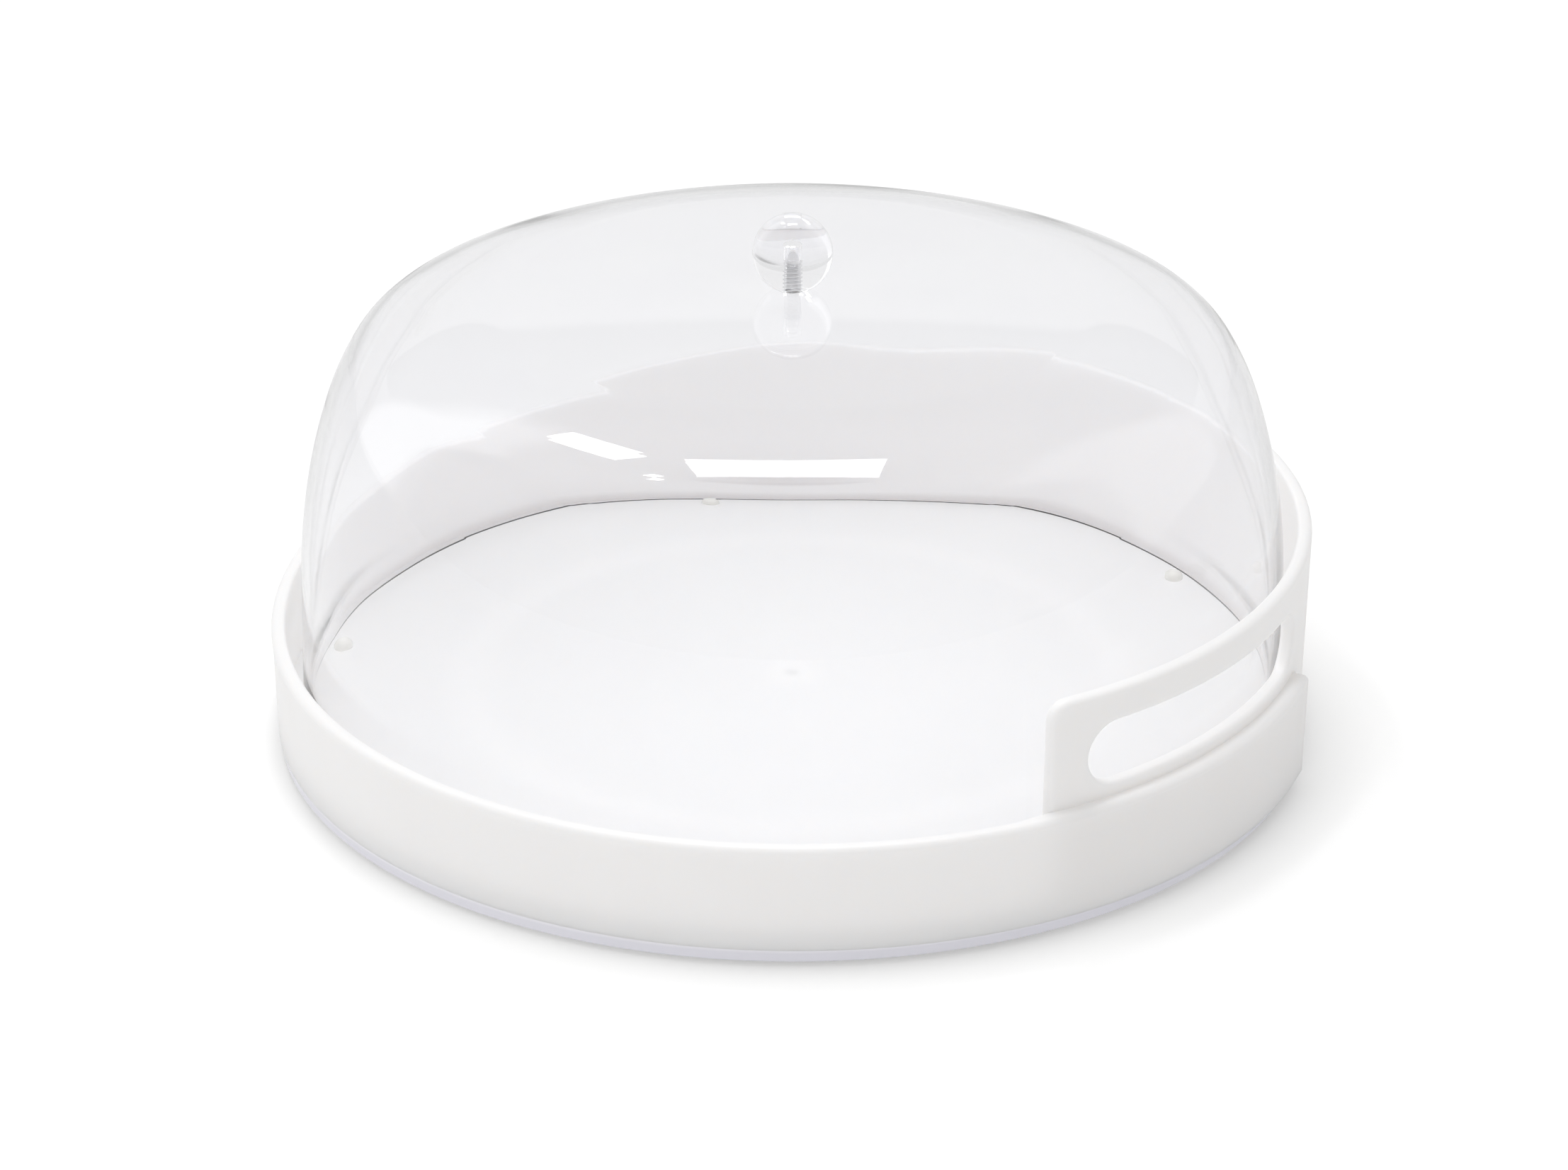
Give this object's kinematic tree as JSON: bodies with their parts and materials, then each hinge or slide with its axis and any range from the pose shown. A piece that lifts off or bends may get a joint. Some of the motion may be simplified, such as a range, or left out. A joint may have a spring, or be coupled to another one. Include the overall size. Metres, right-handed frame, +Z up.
{
  "type": "covered lazy susan",
  "caption": "Round turntable on a ball race: a white tray with a spiral wall and grip slot turns on a clear base, under a clear lift-off dome with a ball knob.",
  "frame": {"origin": "on the table, under the middle of the base", "axes": "+Z up along the turning axis, -Y towards the front of the tray, where its wall is low"},
  "size_m": [0.3302, 0.3318, 0.1694],
  "materials": {
    "clear_acrylic": "clear, polished",
    "white_plastic": "satin gloss",
    "soft_rubber": "matt",
    "white_nylon": "matt",
    "polished_steel": "polished",
    "zinc_steel": "zinc plated",
    "clear_silicone": "clear, soft gloss"
  },
  "bodies": {
    "base": {"base_dish": "clear_acrylic", "rubber_feet": "soft_rubber"},
    "bearing": {"ball_cage": "white_nylon", "bearing_balls": "polished_steel"},
    "turntable": {"tray": "white_plastic", "pivot_washer": "zinc_steel", "pivot_screw": "zinc_steel", "floor_bumpers": "clear_silicone"},
    "cover": {"dome": "clear_acrylic", "knob_stud": "polished_steel", "knob": "clear_acrylic"}
  },
  "joints": [
    {"name": "tray_spin", "type": "hinge", "parent": "base", "child": "turntable", "pos_m": [0, 0, 0.0068], "axis": [0, 0, 1], "continuous": true},
    {"name": "cage_spin", "type": "hinge", "parent": "base", "child": "bearing", "pos_m": [0, 0, 0.0069], "axis": [0, 0, 1], "continuous": true},
    {"name": "dome_lift", "type": "slide", "parent": "turntable", "child": "cover", "axis": [0, 0, 1], "range_m": [0, 0.15]}
  ],
  "couplings": [
    {"joint": "cage_spin", "follows": "tray_spin", "ratio": 0.5}
  ]
}
